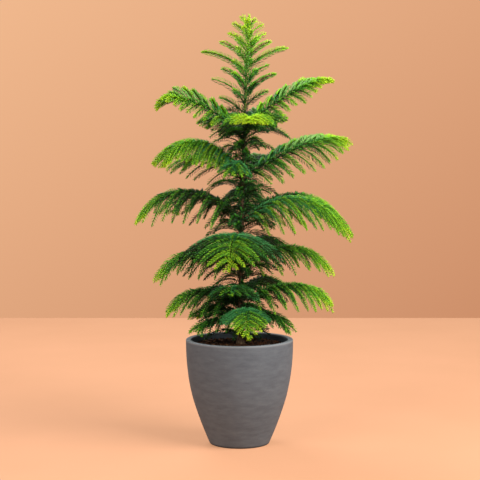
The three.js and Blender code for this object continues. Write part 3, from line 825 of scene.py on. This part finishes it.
def branchlets(number, tier, bough):
    """The twigs that leave one bough to its left and right in turn."""
    path = bough_path(tier, bough)
    count = round(bough.reach / (bough.close * (TWIG.pitch + TWIG.pitch_share * tier.spread)))
    places = np.linspace(TWIG.first, TWIG.last, count)
    centres, alongs, acrosses, rises = frames(path, places, bough_side(bough))
    levels = unit(alongs * np.array((1, 1, TWIG.level)))
    dense = lerp(TWIG.old_dense, 1, float(smoothstep(0, TWIG.dense_at, bough.fresh)))
    for i, place in enumerate(places):
        flank = 1 if i % 2 else -1
        tilt = twig_tilt(tier, bough, place, flank * acrosses[i][1])
        stretch = TILT.far_gain if tilt > 0 else TILT.near_loss
        length = twig_length(tier, bough, place)
        length *= 1 + TWIG.jitter * wobble(number, i, LENGTH)
        length *= 1 + stretch * tilt / TILT.full
        fan = bough.fan * (1 - TILT.sweep * abs(tilt) / TILT.full)
        angle = math.radians(fan * lerp(TWIG.root_angle, TWIG.tip_angle, place)
                             + TWIG.angle_jitter * wobble(number, i, ANGLE))
        lift = math.radians(tier.lift + tilt + TWIG.lift_jitter * wobble(number, i, LIFT))
        heading = (levels[i] * math.cos(angle) + acrosses[i] * flank * math.sin(angle) * math.cos(lift)
                   + rises[i] * math.sin(angle) * math.sin(lift))
        droop = tier.droop * bough.droop * (1 - TILT.stiff * max(0, tilt) / TILT.full)
        sag = droop * (1 + TWIG.sag_jitter * wobble(number, i, SAG)) * length
        slim = TWIG.slim * float(smoothstep(TWIG.slim_from, 1.0, place))
        mood = bough.fresh + TWIG_AGE.mood * wobble(number, i, MOOD)
        yield Shoot(
            group=GROUPS[tier.name], path=sagging(centres[i], heading, length, sag),
            run=length * math.hypot(1, droop * TWIG.bend), side=unit(np.cross(UP, heading)),
            radii=TWIG.radii, start=TWIG.bare, needle=bough.needles * (1 - slim), dense=dense,
            fresh=twig_freshness(bough, mood, place), pale=pale_tint(tier, bough, place, tilt),
        )


def bough_shoot(tier, bough):
    """The needles along the bough itself, beyond its bare foot: old and darker towards the trunk, which is
    also painted shade along the spine, and teal under a crest.
    """
    crested = (tier.name, bough.side) in CRESTS
    # Towards the trunk the bough's needles are tinted darker: old growth, and painted shade along the spine.
    older = max(0.0, bough.fresh - BOUGH_AGE_AND_SHADE.crest) if crested else BOUGH_AGE_AND_SHADE.older
    radius = bough_radius(bough)

    def fresh(u):
        outwards = BOUGH_AGE_AND_SHADE.outer * bough.outer * smoothstep(BOUGH_AGE_AND_SHADE.outer_from, 1.0, u)
        young = outwards + BOUGH_AGE_AND_SHADE.tip * smoothstep(BOUGH_AGE_AND_SHADE.tip_from, 1.0, u)
        return bough.fresh - older * (1 - smoothstep(BOUGH_AGE_AND_SHADE.older_to, 1.0, u)) + young

    return Shoot(
        group=GROUPS[tier.name], path=bough_path(tier, bough), run=bough.reach * BOUGH.curve,
        side=bough_side(bough), radii=(float(radius(0)), float(radius(1))), start=BOUGH.bare,
        needle=bough.needles, dense=BOUGH.dense, fresh=fresh, pale="teal" if crested else "", twig=False,
    )


def short_shoot(kind, group, height, outward, run, rise, fresh):
    """A shoot of the leader's or the inner kind, which leaves the trunk from a little inside its bark."""
    root = trunk_point(height) + outward * (trunk_radius(height) * TRUNK.shoot_root)
    return Shoot(
        group=group, path=climbing(root, outward, run, rise, kind.droop), run=run * kind.curve,
        side=np.cross(UP, outward), radii=TWIG.radii, start=kind.bare, needle=kind.needle,
        dense=kind.dense, fresh=fresh,
    )


def leader_shoots():
    """The short shoots that stand out of the leader in pairs."""
    for pair in range(LEADER.pairs):
        young = pair / (LEADER.pairs - 1)
        height = lerp(LEADER.first, LEADER.last, young ** LEADER.climb)
        factor = LEADER.long_pairs.get(pair, 1)
        grown = LEADER.shortest + LEADER.growth * (LEADER.last - height)
        age = LEADER.oldest + LEADER.youngest * young
        for half in range(2):
            run = factor * min(LEADER.longest, grown)
            run *= 1 + LEADER.jitter * wobble(pair, half, SHOOT_LENGTH)
            turn = math.pi * half + LEADER.turn * (pair % 2)
            outward = heading_of(turn + LEADER.turn_jitter * wobble(pair, half, SHOOT_TURN))
            foot = height + LEADER.stagger * (0.5 - half) * (1 - LEADER.evens * young)
            rise = LEADER.rise - LEADER.rise_loss * run
            yield short_shoot(LEADER, GROUPS["leader"], foot, outward, run, rise,
                              lambda u, age=age: age + LEADER.tip * u)


def inner_shoots():
    """Short shoots straight from the trunk, longest just below each whorl."""
    whorls = [(min(bough.at for bough in tier.boughs), tier) for tier in reversed(TIERS)]
    count = round((INNER.last - INNER.first) / INNER.pitch)
    for i in range(count):
        height = lerp(INNER.first, INNER.last, i / (count - 1))
        whorl, tier = next((pair for pair in whorls if pair[0] > height), whorls[-1])
        near = math.exp(-(((whorl - height) / INNER.fade) ** 2))
        run = INNER.shortest + INNER.growth * near
        run *= 1 + INNER.jitter * wobble(i, INNER_LENGTH, INNER_SHOOT)
        outward = heading_of(GOLDEN_ANGLE * i + INNER.turn_jitter * wobble(i, INNER_TURN, INNER_SHOOT))
        rise = INNER.rise + INNER.rise_jitter * wobble(i, INNER_RISE, INNER_SHOOT)
        # Their low freshness gives the shadow and deep tints: old growth, and painted shade inside the
        # crown.
        age = lerp(INNER.oldest, INNER.youngest, i / (count - 1))
        yield short_shoot(INNER, GROUPS[tier.name], height, outward, run, rise,
                          lambda u, age=age: age + INNER.tip * u * u)


def trunk_shoots():
    """The needles along the trunk itself: sparse and dark low down, the dark partly painted shade, dense and
    green on the leader.
    """
    for span in TRUNK_SPANS:
        radii = (float(trunk_radius(span.low)) + LEADER.sheath, float(trunk_radius(span.high)))
        yield Shoot(
            group=span.group, path=trunk_span(span.low, span.high), run=span.high - span.low, side=SIDEWAYS,
            radii=radii, start=0.0, needle=TRUNK_NEEDLE, dense=span.dense,
            fresh=lambda u, span=span: lerp(span.old, span.young, u * u), twig=False,
        )


def scaled(vectors, factors):
    """Each vector times its own factor."""
    return vectors * factors[:, None]


def needles_on(shoot):
    """Needles in whorls round a shoot, closing up at its tip: the points, ways and tint of each."""
    ranks = NEEDLE.ranks
    beyond = 1 - shoot.start
    whorls = max(NEEDLE.least_whorls, round(shoot.run * beyond * shoot.dense / NEEDLE.whorl))
    count = whorls * ranks
    whorl, rank = np.arange(count) // ranks, np.arange(count) % ranks
    loose = NEEDLE.place_jitter
    u = shoot.start + beyond * (whorl + 0.5 + rng.uniform(-loose, loose, count)) / whorls
    centre, along, across, rise = frames(shoot.path, u, shoot.side)
    step = math.pi / ranks * (whorl % 2) if shoot.twig else GOLDEN_ANGLE * whorl
    turn = rank * FULL_TURN / ranks + step + rng.uniform(0, FULL_TURN)
    turn = turn + rng.normal(0, NEEDLE.turn_jitter, count)
    out = scaled(across, np.cos(turn)) + scaled(rise, np.sin(turn))
    end = smoothstep(NEEDLE.end_from, 1.0, u)
    grown = smoothstep(0.0, NEEDLE.root_span, u - shoot.start + NEEDLE.root_lead)
    length = NEEDLE.length * shoot.needle * (NEEDLE.longest - NEEDLE.taper * u)
    length = length * (1 - NEEDLE.end_loss * end) * (NEEDLE.root_share + NEEDLE.root_gain * grown)
    length = length * (1 + NEEDLE.spread * rng.uniform(-1, 1, count))
    jitter = NEEDLE.angle_jitter
    opening = np.radians(NEEDLE.opening) * (1 - NEEDLE.end_opening * end) + rng.normal(0, jitter, count)
    closing = np.radians(NEEDLE.closing) * (1 - NEEDLE.end_closing * end) + rng.normal(0, jitter, count)
    first = scaled(along, np.cos(opening)) + scaled(out, np.sin(opening))
    second = scaled(along, np.cos(closing)) + scaled(out, np.sin(closing))
    foot = centre + scaled(out, lerp(*shoot.radii, u) * NEEDLE.sunk)
    elbow = foot + scaled(first, length * NEEDLE.elbow)
    tip = elbow + scaled(second, length * (1 - NEEDLE.elbow))
    flat = np.cross(along, out)
    ridge = scaled(out, np.cos(opening)) - scaled(along, np.sin(opening))
    tint = needle_tints(shoot, u, out[:, 2])
    return dict(foot=foot, elbow=elbow, tip=tip, flat=flat, ridge=ridge, tint=tint)


def needle_tints(shoot, u, upward):
    """The number of each needle's tint, by how fresh it is and how far it points up, which paints light on
    its top and shade beneath.
    """
    fresh = shoot.fresh(u)
    uneven = 1 - UNEVEN_AND_TOP_LIGHT.loss * smoothstep(UNEVEN_AND_TOP_LIGHT.loss_from, UNEVEN_AND_TOP_LIGHT.loss_to, fresh)
    # Needles that point up are made fresher and so lighter, those that point down darker: painted light and
    # shade.
    fresh = fresh + uneven * (UNEVEN_AND_TOP_LIGHT.upward * upward + rng.normal(0, UNEVEN_AND_TOP_LIGHT.jitter, len(u)))
    tint = np.digitize(fresh, TINT_STEPS)
    if shoot.pale:
        low, high = PALE_SPANS[shoot.pale]
        tint = np.where((fresh > low) & (fresh < high), list(TINTS).index(shoot.pale), tint)
    return tint


def needle_mesh(foot, elbow, tip, flat, ridge):
    """Keeled needles: a flat foot, a three-sided ring at the elbow and a pointed tip."""
    base, middle = flat * NEEDLE.foot_width / 2, flat * NEEDLE.elbow_width / 2
    keel = elbow + ridge * NEEDLE.keel
    points = np.stack([foot - base, foot + base, elbow - middle, elbow + middle, keel, tip], axis=1)
    faces = [(1, 0, 2), (1, 2, 3), (0, 1, 4), (0, 4, 2), (1, 3, 4), (3, 2, 5), (4, 3, 5), (2, 4, 5)]
    starts = np.arange(len(foot))[:, None, None] * points.shape[1]
    return points.reshape(-1, 3), (np.array(faces)[None] + starts).reshape(-1, 3)


def twig_age(shoot):
    """Old or young, by the freshness past the middle of a shoot."""
    fresh = shoot.fresh(np.array([TWIG_AGE.judged_at]))[0]
    return "young" if fresh > TWIG_AGE.young_above else "old"


def twig_limb(shoot):
    return limb(shoot.path, shoot.side, lambda u: lerp(*shoot.radii, u), TWIG.steps, TWIG.sides)


def all_shoots():
    for tier_number, tier in enumerate(TIERS):
        for bough_number, bough in enumerate(tier.boughs):
            yield bough_shoot(tier, bough)
            yield from branchlets(NUMBERS_PER_TIER * tier_number + bough_number, tier, bough)
    yield from leader_shoots()
    yield from inner_shoots()
    yield from trunk_shoots()


def foliage_nodes(group):
    """The nodes of the solids that a group of pieces stands for."""
    nodes = [f"{tier.name}_{bough.side}_foliage" for tier in TIERS for bough in tier.boughs
             if GROUPS[tier.name] == group]
    return nodes + (["leader_foliage"] if GROUPS["leader"] == group else [])


def make_foliage():
    """Twigs by age and needles by tint, joined for each group of tiers."""
    shoots = list(all_shoots())
    barks = dict(old=twig_material("twig_old", dark=(24, 44, 12), light=(56, 78, 26)),
                 young=twig_material("twig_young", dark=(62, 104, 20), light=(104, 148, 34)))
    skins = {tint: needle_material(f"needle_{tint}", screen(*colour)) for tint, colour in TINTS.items()}
    for group in sorted(set(GROUPS.values())):
        own = [shoot for shoot in shoots if shoot.group == group]
        nodes = foliage_nodes(group)
        for age, bark in barks.items():
            twigs = joined([twig_limb(shoot) for shoot in own if shoot.twig and twig_age(shoot) == age])
            make_piece(f"{group}_twigs_{age}", *twigs, bark, "foliage", nodes)
        sprays = [needles_on(shoot) for shoot in own]
        needles = {key: np.concatenate([spray[key] for spray in sprays]) for key in sprays[0]}
        tints = needles.pop("tint")
        for index, (tint, skin) in enumerate(skins.items()):
            chosen = {key: value[tints == index] for key, value in needles.items()}
            if len(chosen["foot"]):
                make_piece(f"{group}_needles_{tint}", *needle_mesh(**chosen), skin, "foliage", nodes)


def make_leader():
    """The green stem under the leader's needles."""
    low, high = TRUNK.bark_top - LEADER.overlap, TRUNK.top
    material = twig_material("leader_stem", dark=(62, 78, 26), light=(112, 128, 42))

    def radius(u):
        return trunk_radius(lerp(low, high, u)) + LEADER.sheath * (1 - LEADER.sheath_taper * u)

    path = trunk_span(low, high)
    points, triangles = limb(path, SIDEWAYS, radius, LEADER.steps, LEADER.sides, bough_relief)
    make_piece("leader_stem", points, triangles, material, "leader", ["leader_foliage"])


# The stage: a plain floor, a plain background and soft lights

def make_floor():
    signs = ((-1, -1), (1, -1), (1, 1), (-1, 1))
    corners = [(x * FLOOR.half_width, y * FLOOR.half_depth, 0) for x, y in signs]
    mesh = bpy.data.meshes.new("floor")
    mesh.from_pydata(corners, [], [(0, 1, 2, 3)])
    material, tree, shader = new_material("floor", roughness=0.8, specular=0.2)
    grain = noise_node(tree, scale=3, detail=2)
    add_tones(tree, shader, grain, screen(*FLOOR.dark), screen(*FLOOR.light))
    shader.inputs["Emission Color"].default_value = (*screen(*FLOOR.glow), 1)
    shader.inputs["Emission Strength"].default_value = FLOOR.glow_strength
    mesh.materials.append(material)
    floor = bpy.data.objects.new("floor", mesh)
    bpy.context.scene.collection.objects.link(floor)


def make_world():
    """A peach background to look at, paler up and to the left, and an even white light."""
    world = bpy.data.worlds.new("studio")
    bpy.context.scene.world = world
    world.use_nodes = True
    tree = world.node_tree
    nodes, links = tree.nodes, tree.links
    light = nodes["Background"]
    light.inputs["Color"].default_value = (1.0, 1.0, 1.0, 1)
    light.inputs["Strength"].default_value = BACKDROP.ambient
    way = nodes.new("ShaderNodeTexCoord")
    slope = nodes.new("ShaderNodeVectorMath")
    slope.operation = "DOT_PRODUCT"
    slope.inputs[1].default_value = BACKDROP.slope
    links.new(way.outputs["Generated"], slope.inputs[0])
    shift = nodes.new("ShaderNodeMath")
    shift.operation = "ADD"
    shift.inputs[1].default_value = BACKDROP.shift
    links.new(slope.outputs["Value"], shift.inputs[0])
    stops = ((0.0, screen(*BACKDROP.low)), (1.0, screen(*BACKDROP.high)))
    seen = nodes.new("ShaderNodeBackground")
    links.new(colour_ramp(tree, shift.outputs[0], stops), seen.inputs["Color"])
    path = nodes.new("ShaderNodeLightPath")
    mix = nodes.new("ShaderNodeMixShader")
    links.new(path.outputs["Is Camera Ray"], mix.inputs[0])
    links.new(light.outputs[0], mix.inputs[1])
    links.new(seen.outputs[0], mix.inputs[2])
    links.new(mix.outputs[0], nodes["World Output"].inputs["Surface"])


def make_light(name, place, power, size, colour):
    lamp = bpy.data.lights.new(name, "AREA")
    lamp.energy = power
    lamp.size = size
    lamp.color = colour
    light = bpy.data.objects.new(name, lamp)
    light.location = place
    light.rotation_euler = (Vector(LIGHT_TARGET) - Vector(place)).to_track_quat("-Z", "Y").to_euler()
    bpy.context.scene.collection.objects.link(light)


def make_lights():
    for name, settings in LIGHTS.items():
        make_light(name, *settings)


def make_camera():
    lens = bpy.data.cameras.new("photo_view")
    lens.sensor_width = CAMERA.sensor
    lens.lens = CAMERA.sensor * CAMERA.focal_pixels / CAMERA.image_pixels
    camera = bpy.data.objects.new("photo_view", lens)
    camera.location = CAMERA.place
    camera.rotation_euler = (math.radians(90 - CAMERA.tilt), 0, 0)
    bpy.context.scene.collection.objects.link(camera)
    bpy.context.scene.camera = camera


make_camera()
make_pot()
make_soil()
make_chips()
make_trunk()
make_boughs()
make_leader()
make_foliage()
make_floor()
make_world()
make_lights()
bpy.context.scene.view_settings.view_transform = "Standard"
